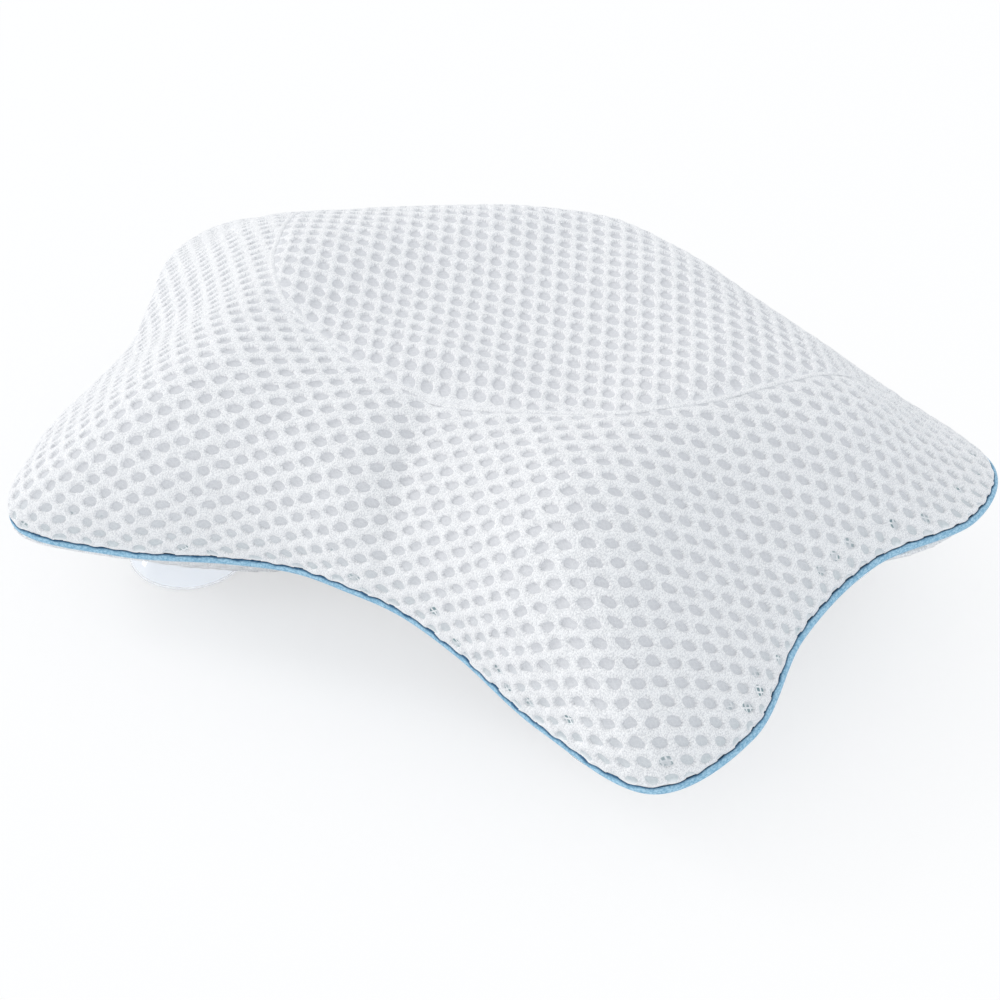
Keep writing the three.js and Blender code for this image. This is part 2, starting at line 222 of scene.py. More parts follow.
# The waves of the cloth's edge: how many round the pillow, how deep in mm, and where they start
RIM_WAVES = ((137, 0.2, 0.0), (61, 0.13, 1.0))
RIM_GAP = 0.35
TOP_LIFT = 1.0
RIM_LIFT_POWER = 8
CROWN_END_POWER = 3
BASE_RIM_INSET = 1.0
BASE_RIM_DROP = 1.15
overlap = np.clip(RIM_OVERLAP - RIM_SHIFT * (outwards @ RIM_SHIFT_SIDE), *OVERLAP_LIMITS)
turns = np.arange(len(outline)) / len(outline) * 2 * math.pi
for number, depth, start in RIM_WAVES:
    overlap += depth * np.sin(turns * number + start)
rim = Polar(outline[:, :2] + outwards * overlap[:, None], outline[:, 2])
rim_lift = Polar(outline[:, :2], np.sqrt(PIPING_RADIUS**2 - overlap**2) + RIM_GAP)
base_rim = Polar(outline[:, :2] - outwards * BASE_RIM_INSET, outline[:, 2])
piping_line = Polar(outline[:, :2], outline[:, 2])
# How squarely the edge faces away from the middle: 1 at the tip of a lobe, less on its flanks
away_share = (outline[:, :2] * outwards).sum(1) / np.hypot(outline[:, 0], outline[:, 1])
facing = Polar(outline[:, :2], away_share)

# How far the stuffed cloth stands out past its rim, in mm, by direction in degrees from +X
OVERHANG = [
    (0, 0.5),
    (18, 0.8),
    (30, -1.0),
    (45, -0.8),
    (60, 0.8),
    (100, 1.5),
    (130, 2.5),
    (148, 5.5),
    (158, 8.5),
    (167, 8.5),
    (176, 8.0),
    (183, 4.5),
    (190, 0.8),
    (198, 2.2),
    (206, 0),
    (213, -2.0),
    (220, 1.0),
    (230, 1.5),
    (280, 0.8),
    (320, 0.3),
]
OVERHANG_HEIGHT = 9.0
# Where the stuffing has settled: x, y, how far round, and how deep
SETTLED = [(-125, 68, 42, 2.8), (8, 122, 36, 2.6)]


def bulge(table, angle, part):
    """How far the cloth stands out where a table gives the most, which it reaches at part 1."""
    at, most = np.array(table).T
    return np.interp(np.degrees(angle), at, most, period=360) * part * np.exp(1 - part)


def spline(a, b, c, d, t):
    """The place a share t of the way from b to c, on the smooth curve through all four."""
    square = (2 * a - 5 * b + 4 * c - d) * t**2
    return b + ((c - a) * t + square + (3 * b - a - 3 * c + d) * t**3) / 2


def crown_at(x, y):
    """How far the stuffed top stands over its edge."""
    rows, columns = (n - 1 for n in CROWN_SHARES.shape)
    along_y = np.clip((y / HALF_DEPTH + 1) / 2, 0, 1) * rows
    along_x = np.minimum(np.abs(x) / HALF_LENGTH, 1) * columns
    row = np.minimum(along_y.astype(int), rows - 1)
    column = np.minimum(along_x.astype(int), columns - 1)

    def share(i, j):
        return CROWN_SHARES[np.clip(i, 0, rows), np.minimum(np.abs(j), columns)]

    lines = [
        spline(*(share(row + i, column + j) for j in (-1, 0, 1, 2)), along_x - column)
        for i in (-1, 0, 1, 2)
    ]
    return CROWN_HEIGHT * spline(*lines, along_y - row)


def crease_at(x, y):
    """How deep the crease between the front lobes cuts into the crown."""
    progress = np.maximum((CREASE_START - y) / CREASE_RUN, 0)
    limited = np.minimum(progress, CREASE_LIMIT)
    distance = np.hypot(x - CREASE_LEAN * limited, CREASE_ROUNDING) - CREASE_ROUNDING
    nearness = np.maximum(1 - distance / CREASE_HALF_WIDTH, 0)
    return CREASE_DEPTH * limited**CREASE_DEEPENING * nearness**2


def seam_line():
    """The seam of the head panel over the floor, from left to right, past the rim at both ends."""
    right = np.array(SEAM_SHARES) * np.array([HALF_LENGTH, HALF_DEPTH])
    points = np.vstack([right[:0:-1] * np.array([-1, 1]), right])
    padded = np.vstack([points[:1], points, points[-1:]])
    pieces = []
    for i in range(len(points) - 1):
        a, b, c, d = padded[i : i + 4]
        t = np.arange(SEAM_STEPS)[:, None] / SEAM_STEPS
        pieces.append(spline(a, b, c, d, t))
    return spaced(np.vstack([*pieces, points[-1:]]), SEAM_COUNT, closed=False)


seam = seam_line()


def cross(a, b):
    """Twice the areas between places, above 0 where b lies to the left of a."""
    return a[:, 0] * b[:, 1] - b[:, 0] * a[:, 1]


CHUNK = 20000


def off_seam(points):
    """Signed distance to the seam, above 0 in the head panel, and the nearest place on it."""
    best = np.full(len(points), np.inf)
    sign = np.ones(len(points))
    near = np.zeros((len(points), 2))
    start, step = seam[:-1], np.diff(seam, axis=0)
    length = (step**2).sum(1)
    for k in range(0, len(points), CHUNK):
        part = slice(k, k + CHUNK)
        p = points[part, None, :] - start[None]
        t = np.clip((p * step).sum(2) / length, 0, 1)
        gap = p - t[..., None] * step
        square = (gap**2).sum(2)
        j = square.argmin(1)
        i = np.arange(len(j))
        best[part] = np.sqrt(square[i, j])
        sign[part] = np.where(cross(step[j], gap[i, j]) >= 0, 1, -1)
        near[part] = start[j] + t[i, j, None] * step[j]
    return best * sign, near


def directed(angle, radius):
    """Places given by their directions and distances from the origin."""
    return np.stack([np.cos(angle) * radius, np.sin(angle) * radius], axis=1)


# A panel's points are placed by w, a point of the unit disc: its length runs from the middle of the
# panel (0) to the rim (1), crowded towards the rim where the cover turns down.
def polar_of(w):
    return np.arctan2(w[:, 1], w[:, 0]), np.minimum(np.hypot(w[:, 0], w[:, 1]), 1)


def plan_of(w):
    """The place over the floor where a point of the top would lie without its overhang."""
    angle, t = polar_of(w)
    return directed(angle, (1 - (1 - t) ** 2) * rim.reach(angle))


def w_of(plan):
    """The w whose plan_of is a given place."""
    angle = np.arctan2(plan[:, 1], plan[:, 0])
    share = np.minimum(np.hypot(plan[:, 0], plan[:, 1]) / rim.reach(angle), 1)
    return directed(angle, 1 - np.sqrt(1 - share))


def top_place(w):
    """Where the points of the front and head panels lie."""
    angle, t = polar_of(w)
    share = 1 - (1 - t) ** 2
    plan = plan_of(w)
    x, y = plan.T
    level = PIPING_HEIGHT + (rim.level(angle) - PIPING_HEIGHT) * share**2
    level += TOP_LIFT + (rim_lift.level(angle) - TOP_LIFT) * share**RIM_LIFT_POWER
    rise = crown_at(x, y) - crease_at(x, y)
    for at_x, at_y, run, deep in SETTLED:
        rise -= deep * np.exp(-((x - at_x) ** 2 + (y - at_y) ** 2) / run**2)
    rise *= np.sqrt(np.maximum(1 - share**CROWN_END_POWER, 0))
    out = bulge(OVERHANG, angle, np.maximum(rise, 0) / OVERHANG_HEIGHT)
    return np.column_stack([plan + directed(angle, out), level + rise])


BASE_FLAT = 0.62
BASE_EDGE_SLOPE = 0.78
BASE_TIP_SLOPE = 0.5
BASE_TIP_POWER = 4
SLOPE_LIMITS = (0.5, 2)
# How far the base's cloth is stuffed out under the piping, in mm, by direction in degrees from +X
BASE_BULGE = [
    (0, 0),
    (3, 3),
    (5, 7),
    (8, 7),
    (11, 4),
    (14, 0),
    (212, 0),
    (219, 4),
    (225, 7),
    (231, 7),
    (236, 2),
    (240, 0),
]
BASE_BULGE_DEPTH = 5.0


def base_level(angle, share):
    """The height of the base's cloth from its flat (share 0) to its rim (1), and the rim's."""
    reach = piping_line.reach(angle)
    least, most = piping_line.radius.min(), piping_line.radius.max()
    rise = base_rim.level(angle) - BASE_RIM_DROP - BASE_HEIGHT
    # The slope that meets the piping is steeper at the tips of the lobes than on their flanks
    tip = (reach - least) / (most - least) * facing.level(angle) ** BASE_TIP_POWER
    slope = (BASE_EDGE_SLOPE + BASE_TIP_SLOPE * tip) * BASE_RUN * facing.level(angle) / rise
    start = (3 - np.clip(slope, *SLOPE_LIMITS)) / 2
    z = BASE_HEIGHT + rise * share * (start + (1 - start) * share**2)
    return z, BASE_HEIGHT + rise


def base_place(w):
    """Where the points of the base panel lie."""
    angle, t = polar_of(w)
    reach = piping_line.reach(angle)
    share = np.clip((t - BASE_FLAT) / (1 - BASE_FLAT), 0, 1)
    inner = (reach - BASE_RUN) * np.minimum(t / BASE_FLAT, 1)
    radius = inner + (base_rim.reach(angle) - (reach - BASE_RUN)) * share
    z, edge = base_level(angle, share)
    radius += bulge(BASE_BULGE, angle, (edge - z) / BASE_BULGE_DEPTH)
    return np.column_stack([directed(angle, radius), z])


NORMAL_STEP = 0.004
TINY = 1e-9


def normals_of(place, w, outward):
    """Unit normals of a panel, facing up for outward 1 and down for -1."""
    size = np.hypot(w[:, 0], w[:, 1])
    inside = w * np.minimum(1, (1 - 1.5 * NORMAL_STEP) / np.maximum(size, TINY))[:, None]
    right, up = np.array([[NORMAL_STEP, 0]]), np.array([[0, NORMAL_STEP]])
    du = place(inside + right) - place(inside - right)
    dv = place(inside + up) - place(inside - up)
    normal = np.cross(du, dv) * outward
    return normal / np.linalg.norm(normal, axis=1, keepdims=True)


# Laying a panel flat
PANEL_RINGS = 22
PANEL_SPOKES = 90
FLATTEN_ROUNDS = 40
LEAST_WEIGHT = 0.02
ANCHOR_WEIGHT = 1e-6


def disc_grid(rings, spokes):
    """The unit disc as triangles: its points and the numbers of each triangle's corners."""
    angle = np.arange(spokes) / spokes * 2 * math.pi
    t = np.arange(1, rings + 1) / rings
    w = np.stack([np.outer(t, np.cos(angle)), np.outer(t, np.sin(angle))], axis=2).reshape(-1, 2)
    w = np.vstack([[[0.0, 0.0]], w])
    j = np.arange(spokes)
    faces = [np.stack([np.zeros(spokes, int), 1 + j, 1 + (j + 1) % spokes], axis=1)]
    for i in range(rings - 1):
        a, b = 1 + i * spokes + j, 1 + i * spokes + (j + 1) % spokes
        c, d = a + spokes, b + spokes
        faces += [np.stack([a, c, d], axis=1), np.stack([a, d, b], axis=1)]
    return w, np.vstack(faces)


def lay_flat(points, faces, start):
    """The flat places of a curved panel's points, in mm, with each triangle turned but hardly
    stretched, as a cut panel of cloth lies. start is where the points lie to begin with."""
    a, b, c = (points[faces[:, i]] for i in range(3))
    ab, ac = b - a, c - a
    width = np.linalg.norm(ab, axis=1)
    along_ab = ab / width[:, None]
    cx = (ac * along_ab).sum(1)
    cy = np.linalg.norm(ac - cx[:, None] * along_ab, axis=1)
    flat = np.stack([np.zeros(len(faces)), width, cx + 1j * cy], axis=1).astype(complex)
    edges = []
    total = len(points)
    matrix = np.zeros((total, total))
    for i in range(3):
        j, k = (i + 1) % 3, (i + 2) % 3
        u, v = flat[:, j] - flat[:, i], flat[:, k] - flat[:, i]
        turn = np.conj(u) * v
        weight = np.maximum(turn.real / np.maximum(np.abs(turn.imag), TINY), LEAST_WEIGHT)
        edges.append((faces[:, j], faces[:, k], flat[:, j] - flat[:, k], weight))
        for p, q, s in ((j, j, 1), (k, k, 1), (j, k, -1), (k, j, -1)):
            np.add.at(matrix, (faces[:, p], faces[:, q]), s * weight)
    matrix[np.arange(total), np.arange(total)] += ANCHOR_WEIGHT
    solve = np.linalg.inv(matrix)
    place = start[:, 0] + 1j * start[:, 1]
    for _ in range(FLATTEN_ROUNDS):
        spin = sum(w * (place[j] - place[k]) * np.conj(x) for j, k, x, w in edges)
        spin /= np.maximum(np.abs(spin), TINY)
        side = np.zeros(total, complex)
        for j, k, x, w in edges:
            np.add.at(side, j, w * spin * x)
            np.add.at(side, k, -w * spin * x)
        place = solve @ side
    place += (start[:, 0] + 1j * start[:, 1] - place).mean()
    return np.stack([place.real, place.imag], axis=1)


# The mesh cloth
# Steps from a hole to two of its neighbours in the flat cloth, the direction of its length in
# degrees, and the share of HOLE_RINGS that its length and width have
FRONT_CLOTH = ((7.45, 4.7), (1.8, 9.5), 17, (0.88, 0.86))
HEAD_CLOTH = ((7.7, 1.4), (3.3, 9.9), -45, (1.08, 1.12))
CELL_REACH = 5.8
HOLE_RINGS = (
    # half length, half width, depth under the crest of the ribs
    (4.15, 2.85, 0.05),
    (3.92, 2.64, 0.26),
    (3.72, 2.44, 0.75),
    (3.56, 2.3, 1.25),
)
HOLE_POINTING = 1.8
FLOOR_SAG = 0.15
# How unevenly the holes are knitted: the spread of their sizes, turns and places in mm
HOLE_GROWTH = 0.03
HOLE_TURN = 0.045
HOLE_SHIFT = 0.08
# The share of the holes near the rim whose net is open, showing the pillow's inside painted dark
# between its strands as painted shade, the least they are open, and how near
OPEN_SHARE = 0.25
OPEN_LEAST = 0.5
OPEN_RUN = (2.0, 15.0)
# Along the seam and the rim the cloth dips, its relief is pinched flat and its hem shows pale
SEAM_MARGIN = 26.0
SEAM_DIP = 0.8
SEAM_DIP_RUN = 3.0
SEAM_PINCH = 0.1
SEAM_PINCH_RUN = 3.3
SEAM_HEM = 1.2
RIM_PINCH = 0.32
RIM_PINCH_RUN = 2.4
RIM_HEM = 0.9
# Over how many mm from the rim the net's floor is painted darker and teal, as painted shade
RIM_SHADE_AND_TINT_RUN = 9.0
OFF_PANEL = 0.004
KEYS_PER_MM = 50
UNSHARED_KEY = 10**7
UV_PER_MM = 0.1


def cell_template(steps, sides):
    """One cell: rings of points from the edge that it shares with its neighbours into the hole, and
    the net at its floor."""
    first, second, axis, hole_share = steps
    even = np.array([(math.sqrt(3) / 2, 0.5), (0, 1)])
    stretch = np.linalg.solve(even, np.array([first, second]))
    corner = np.arange(7) * math.pi / 3
    corner = np.stack([np.cos(corner), np.sin(corner)], axis=1) / math.sqrt(3) @ stretch
    part = (np.arange(sides // 6) / (sides // 6))[:, None]
    edge = np.vstack([corner[k] * (1 - part) + corner[k + 1] * part for k in range(6)])
    angle = np.arctan2(edge[:, 1], edge[:, 0])
    off_axis = angle - math.radians(axis)
    rings = [np.hstack([edge, np.zeros((sides, 1))])]
    for long, wide, deep in HOLE_RINGS:
        size = np.abs(np.cos(off_axis) / (long * hole_share[0])) ** HOLE_POINTING
        size += np.abs(np.sin(off_axis) / (wide * hole_share[1])) ** HOLE_POINTING
        size **= -1 / HOLE_POINTING
        rings.append(np.column_stack([directed(angle, size), np.full(sides, deep)]))
    rings.append(rings[-1].copy())
    return np.vstack([*rings, [[0, 0, HOLE_RINGS[-1][2] + FLOOR_SAG]]])


def cell_faces(sides):
    """The quads of a cell's ribs and the triangles of its net."""
    quads = []
    j = np.arange(sides)
    after = (j + 1) % sides
    for i in range(len(HOLE_RINGS)):
        a, b = i * sides, (i + 1) * sides
        quads.append(np.stack([a + j, a + after, b + after, b + j], axis=1))
    floor = (len(HOLE_RINGS) + 1) * sides
    fan = np.stack([floor + j, floor + after, np.full(sides, floor + sides)], axis=1)
    return np.vstack(quads), fan


def renumbered(faces, total):
    """The numbers of the points that faces use, and for each point its place among them."""
    used = np.unique(np.concatenate([np.ravel(f) for f in faces]))
    number = np.full(total, -1)
    number[used] = np.arange(len(used))
    return used, number


class FlatPanel:
    """A panel laid flat, and the way back from the flat cloth to w. side is 1 for the head panel,
    -1 for the front panel and 0 for a whole panel."""

    def __init__(self, place, side):
        grid, faces = disc_grid(PANEL_RINGS, PANEL_SPOKES)
        points = place(grid)
        if side:
            keep = off_seam(plan_of(grid))[0] * side > -SEAM_MARGIN
            faces = faces[keep[faces].all(axis=1)]
        used, number = renumbered(faces, len(grid))
        self.grid, self.faces = grid[used], number[faces]
        self.flat = lay_flat(points[used], self.faces, points[used, :2])
        corners = [(x, y, 0.0) for x, y in self.flat]
        self.tree = BVHTree.FromPolygons(corners, self.faces.tolist(), epsilon=0.0)

    def find(self, spots):
        """w and the distance off the flat panel for places on it."""
        nearest = [self.tree.find_nearest((x, y, 0.0)) for x, y in spots]
        at = np.array([n[0][:2] for n in nearest])
        face = self.faces[[n[2] for n in nearest]]
        a, b, c = (self.flat[face[:, i]] for i in range(3))
        v0, v1, v2 = b - a, c - a, at - a
        area = cross(v0, v1)
        s, t = cross(v2, v1) / area, cross(v0, v2) / area
        shares = ((1 - s - t)[:, None], s[:, None], t[:, None])
        w = sum(self.grid[face[:, i]] * shares[i] for i in range(3))
        return w, np.array([n[3] for n in nearest])


def hole_centres(panel, steps, side):
    """The middles of the cells that a flat panel carries."""
    first, second = np.array(steps[0]), np.array(steps[1])
    low, high = panel.flat.min(0) - CELL_REACH, panel.flat.max(0) + CELL_REACH
    corners = np.array([(x, y) for x in (low[0], high[0]) for y in (low[1], high[1])])
    counts = corners @ np.linalg.inv(np.stack([first, second]))
    span = [np.arange(math.floor(c.min()), math.ceil(c.max()) + 1) for c in counts.T]
    i, j = (v.ravel() for v in np.meshgrid(*span, indexing="ij"))
    centres = i[:, None] * first + j[:, None] * second
    centres = centres[((centres > low) & (centres < high)).all(axis=1)]
    w, away = panel.find(centres)
    keep = away < CELL_REACH
    if side:
        keep &= off_seam(plan_of(w))[0] * side > -CELL_REACH
    return centres[keep]


def knitted(centres, steps, sides):
    """The cells of a flat panel, each hole a little off its size, turn and place: their points as
    (x, y, depth), how open each point's hole is, which sets where painted shade of the pillow's
    inside shows in the net, the quads of the ribs and the net's triangles."""
    template = cell_template(steps, sides)
    count, size = len(centres), len(template)
    cells = np.repeat(template[None], count, axis=0)
    inner = np.arange(size) >= sides
    open_and_shaded = np.where(rng.random(count) < OPEN_SHARE, rng.uniform(OPEN_LEAST, 1, count), 0)
    cells[:, inner, :2] *= 1 + rng.normal(0, HOLE_GROWTH, (count, 1, 2))
    turn = rng.normal(0, HOLE_TURN, (count, 1))
    x, y = cells[:, inner, 0], cells[:, inner, 1]
    cells[:, inner, 0], cells[:, inner, 1] = x - turn * y, y + turn * x
    cells[:, inner, :2] += rng.normal(0, HOLE_SHIFT, (count, 1, 2))
    cells[:, :, :2] += centres[:, None]
    quads, fan = cell_faces(sides)
    shift = (np.arange(count) * size)[:, None, None]
    quads = (quads[None] + shift).reshape(-1, 4)
    fan = (fan[None] + shift).reshape(-1, 3)
    cells = cells.reshape(-1, 3)

    # Neighbouring cells share the points of their hexagons
    on_hexagon = np.tile(~inner, count)[:, None]
    key = np.round(cells[:, :2] * KEYS_PER_MM).astype(np.int64)
    key = np.where(on_hexagon, key, UNSHARED_KEY + np.arange(len(cells))[:, None])
    _, kept, same = np.unique(key, axis=0, return_index=True, return_inverse=True)
    same = same.ravel()
    return cells[kept], np.repeat(open_and_shaded, size)[kept], same[quads], same[fan]


def make_mesh(name, points, faces, materials=(), uv=None, values=None, slots=None):
    """A mesh object from points in mm and faces given as lists of point numbers."""
    data = bpy.data.meshes.new(name)
    data.from_pydata((np.asarray(points) * MM).tolist(), [], [list(map(int, f)) for f in faces])
    for material in materials:
        data.materials.append(material)
    if uv is not None:
        layer = data.uv_layers.new(name="Cloth")
        loops = np.zeros(len(data.loops), int)
        data.loops.foreach_get("vertex_index", loops)
        layer.data.foreach_set("uv", np.asarray(uv, np.float32)[loops].ravel())
    for key, value in (values or {}).items():
        attribute = data.attributes.new(key, "FLOAT", "POINT")
        attribute.data.foreach_set("value", np.asarray(value, np.float32))
    if slots is not None:
        data.polygons.foreach_set("material_index", np.asarray(slots, np.int32))
    data.polygons.foreach_set("use_smooth", np.ones(len(data.polygons), bool))
    data.validate()
    data.update()
    made = bpy.data.objects.new(name, data)
    bpy.context.scene.collection.objects.link(made)
    return made


def fading(distance, run):
    """1 at a line, falling to 0 over a run."""
    return np.exp(-((distance / run) ** 2))


def mesh_cover(name, place, outward, side, steps, sides, materials, holes=()):
    """A panel of the mesh cloth, facing up for outward 1 and down for -1. side is FlatPanel's,
    steps says how the cells lie, and holes are the middles of round places left out."""
    panel = FlatPanel(place, side)
    cells, open_and_shaded, quads, fan = knitted(hole_centres(panel, steps, side), steps, sides)
    w, away = panel.find(cells[:, :2])
    spot = place(w)
    length = np.hypot(w[:, 0], w[:, 1])
    rim_run = np.linalg.norm(spot - place(w / np.maximum(length, TINY)[:, None]), axis=1)
    depth = cells[:, 2].copy()
    hem = fading(rim_run, RIM_HEM)
    past_rim = away > OFF_PANEL
    past_seam = np.zeros(len(cells), bool)
    dip = np.zeros(len(cells))
    if side:
        off, near = off_seam(plan_of(w))
        off *= side
        past_seam = off < 0
        w = np.where(past_seam[:, None], w_of(near), w)
        spot = np.where(past_seam[:, None], place(w), spot)
        off = np.maximum(off, 0)
        dip += SEAM_DIP * fading(off, SEAM_DIP_RUN)
        depth *= 1 - (1 - SEAM_PINCH) * fading(off, SEAM_PINCH_RUN)
        hem = np.maximum(hem, fading(off, SEAM_HEM))
    depth *= 1 - (1 - RIM_PINCH) * fading(rim_run, RIM_PINCH_RUN)
    points = spot - normals_of(place, w, outward) * (depth + dip)[:, None]

    left_out = np.zeros(len(points), bool)
    for x, y in holes:
        left_out |= np.hypot(points[:, 0] - x, points[:, 1] - y) < BASE_HOLE_RADIUS
    faces, slots = [], []
    for group, slot in ((quads, 0), (fan, 1)):
        kept = ~past_rim[group].all(axis=1) & ~past_seam[group].all(axis=1)
        kept &= ~left_out[group].any(axis=1)
        faces += group[kept].tolist()
        slots += [slot] * int(kept.sum())
    used, number = renumbered(faces, len(points))
    faces = [number[f][::outward] for f in faces]
    values = {
        "rim_shade_and_tint": np.exp(-rim_run[used] / RIM_SHADE_AND_TINT_RUN),
        "open": open_and_shaded[used] * (rim_run[used] > OPEN_RUN[0]) * (rim_run[used] < OPEN_RUN[1]),
        "hem": hem[used],
    }
    uv = cells[used, :2] * UV_PER_MM
    return make_mesh(name, points[used], faces, materials, uv, values, slots)


# Materials
class Shading:
    """The nodes of a material or of the world."""

    def __init__(self, owner):
        owner.use_nodes = True
        self.nodes, self.links = owner.node_tree.nodes, owner.node_tree.links

    def add(self, kind, *sources, **values):
        """A node of a kind with sources on its first inputs. Values whose names start with in_ go
        to its inputs, the others to the node."""
        made = self.nodes.new(kind)
        for key, value in values.items():
            if key.startswith("in_"):
                made.inputs[key[3:].replace("_", " ")].default_value = value
            else:
                setattr(made, key, value)
        for i, source in enumerate(sources):
            self.links.new(source, made.inputs[i])
        return made

    def object_place(self):
        return self.add("ShaderNodeTexCoord").outputs["Object"]

    def cloth_place(self):
        """The place on the flat cloth in centimetres."""
        return self.add("ShaderNodeUVMap", uv_map="Cloth").outputs["UV"]

    def attribute(self, name):
        return self.add("ShaderNodeAttribute", attribute_name=name).outputs["Fac"]

    def mapped(self, place, **values):
        return self.add("ShaderNodeMapping", place, **values).outputs["Vector"]

    def noise(self, place, scale, detail):
        made = self.add("ShaderNodeTexNoise", place, in_Scale=scale, in_Detail=detail)
        return made.outputs["Fac"]

    def joined(self, operation, first, second, **values):
        """Two values joined by an arithmetic operation."""
        made = self.add("ShaderNodeMath", first, second, operation=operation, **values)
        return made.outputs["Value"]

    def sum_of(self, first, second, gain):
        """first + second * gain."""
        made = self.add("ShaderNodeMath", second, operation="MULTIPLY_ADD")
        made.inputs[1].default_value = gain
        self.links.new(first, made.inputs[2])
        return made.outputs["Value"]

    def stretched(self, value, low, high, **values):
        """A value spread from low..high over 0..1."""
        ends = {"in_From_Min": low, "in_From_Max": high}
        return self.add("ShaderNodeMapRange", value, **ends, **values).outputs["Result"]

    def mixed(self, factor, first, second, **values):
        """A colour between two, each of them a colour or what a node gives."""
        mix = self.add("ShaderNodeMix", data_type="RGBA", **values)
        for key, source in (("Factor", factor), ("A", first), ("B", second)):
            if isinstance(source, tuple):
                mix.inputs[key].default_value = (*source, 1)
            elif isinstance(source, float):
                mix.inputs[key].default_value = source
            else:
                self.links.new(source, mix.inputs[key])
        return mix.outputs["Result"]

    def finish(self, color, height, strength, depth, **constants):
        """The shader with a colour, a bump so many metres deep and constants on its own sockets."""
        shader = self.nodes["Principled BSDF"]
        self.links.new(color, shader.inputs["Base Color"])
        bump = self.add("ShaderNodeBump", in_Strength=strength, in_Distance=depth)
        self.links.new(height, bump.inputs["Height"])
        self.links.new(bump.outputs["Normal"], shader.inputs["Normal"])
        for key, value in constants.items():
            shader.inputs[key.replace("_", " ")].default_value = value
        return shader


def yarn_material(name, low, high, loops, squeeze=1.6, bump=0.00022, edge=None, on_cloth=True):
    """Knitted yarn: small loops side by side, so many to a centimetre, fuzzed by noise, its colour
    painted darker in the dips between the loops as painted shade. edge names an attribute and the
    two colours of the yarn where it is 1: the pale hem on the knit, and painted shade in the
    crevice on the tape."""
    material = bpy.data.materials.new(name)
    shading = Shading(material)
    if on_cloth:
        place, per_unit = shading.cloth_place(), 1
    else:
        place, per_unit = shading.object_place(), 100
    squeezed = shading.mapped(place, in_Scale=(per_unit * squeeze, per_unit, per_unit))
    even = shading.mapped(place, in_Scale=(per_unit, per_unit, per_unit))
    loop = shading.add("ShaderNodeTexVoronoi", squeezed, in_Scale=loops, in_Randomness=0.8)
    crown = shading.stretched(loop.outputs["Distance"], 0.75, 0.1)
    grain = shading.stretched(shading.noise(even, loops * 1.5, 2.0), 0.3, 0.7)
    height = shading.sum_of(crown, grain, 0.7)
    # The colour follows the loops' height, so the dips between them are painted darker as painted
    # shade, and it varies at random with a coarse noise
    tone_and_dip_shade = shading.sum_of(height, shading.noise(even, 1.3, 2.0), 0.35)
    color = shading.mixed(shading.stretched(tone_and_dip_shade, 0.3, 1.3), low, high)
    # The edge colours: the pale hem on the knit, and on the tape painted shade in the crevice under
    # the cloth's edge
    if edge:
        at_edge, edge_low, edge_high = edge
        hem_and_groove_shade = shading.mixed(crown, edge_low, edge_high)
        color = shading.mixed(shading.attribute(at_edge), color, hem_and_groove_shade)
    surface = {"Specular_IOR_Level": 0.25, "Sheen_Weight": 0.15, "Sheen_Roughness": 0.4}
    shading.finish(color, height, 0.9, bump, Roughness=0.9, **surface)
    return material


def net_material(name):
    """The fine net at the bottom of the holes, its own light grey painted darker as painted shade
    of the holes, darker and teal towards the rim as painted shade, and open in a few holes there,
    with the pillow's dark inside painted between its strands as painted shade."""
    material = bpy.data.materials.new(name)
    shading = Shading(material)
    place = shading.cloth_place()
    strands = []
    for slope in (0.62, -0.62):
        bands = shading.add(
            "ShaderNodeTexWave",
            shading.mapped(place, in_Rotation=(0, 0, slope)),
            wave_type="BANDS",
            bands_direction="Y",
            in_Scale=1.5,
            in_Distortion=0.8,
            in_Detail=1.0,
        )
        strands.append(bands.outputs["Fac"])
    strand = shading.stretched(shading.joined("MAXIMUM", *strands), 0.6, 0.88)
    patches = shading.stretched(shading.noise(place, 2.6, 1.0), 0.44, 0.56)
    # Where the net is open, painted shade: the pillow's dark inside is painted between the strands
    open_patch_shade = shading.joined("MULTIPLY", shading.attribute("open"), patches)
    fuzz = shading.noise(place, 16.0, 2.0)
    # The net's floor: its own light grey, painted darker as painted shade of the hole it lies in
    floor_grey_and_shade = shading.mixed(fuzz, (0.58, 0.585, 0.605), (0.76, 0.765, 0.785))
    # Near the rim: the floor painted darker and teal, as painted shade
    rim_floor_shade_and_tint = shading.mixed(fuzz, (0.48, 0.54, 0.56), (0.66, 0.71, 0.72))
    # The pillow's dark inside, painted on the open net as painted shade
    hole = shading.mixed(fuzz, (0.1, 0.19, 0.21), (0.3, 0.4, 0.42))
    yarn = shading.mixed(fuzz, (0.84, 0.85, 0.86), (0.96, 0.965, 0.97))
    floor = shading.mixed(shading.attribute("rim_shade_and_tint"), floor_grey_and_shade, rim_floor_shade_and_tint)
    whole = shading.mixed(shading.sum_of(strand, strand, -0.88), floor, yarn)
    seen = shading.mixed(open_patch_shade, whole, shading.mixed(strand, hole, yarn))
    color = shading.mixed(shading.attribute("hem"), seen, yarn)
    shading.finish(color, strand, 0.4, 0.0001, Roughness=0.9, Specular_IOR_Level=0.2)
    return material


def vinyl_material(name):
    """Clear soft vinyl, faintly blue, with the haze of its moulding."""
    material = bpy.data.materials.new(name)
    shading = Shading(material)
    haze = shading.noise(shading.object_place(), 90.0, 2.0)
    color = shading.mixed(haze, (0.85, 0.9, 0.97), (0.92, 0.955, 1.0))
    shader = shading.finish(color, haze, 0.12, 0.0002, Transmission_Weight=0.93, IOR=1.5)
    shading.links.new(shading.stretched(haze, -0.3, 9.0), shader.inputs["Roughness"])
    return material


def plastic_material(name, low, high):
    """Satin moulded plastic with a fine grain."""
    material = bpy.data.materials.new(name)
    shading = Shading(material)
    grain = shading.noise(shading.object_place(), 900.0, 3.0)
    shading.finish(shading.mixed(grain, low, high), grain, 0.25, 0.00005, Roughness=0.42)
    return material


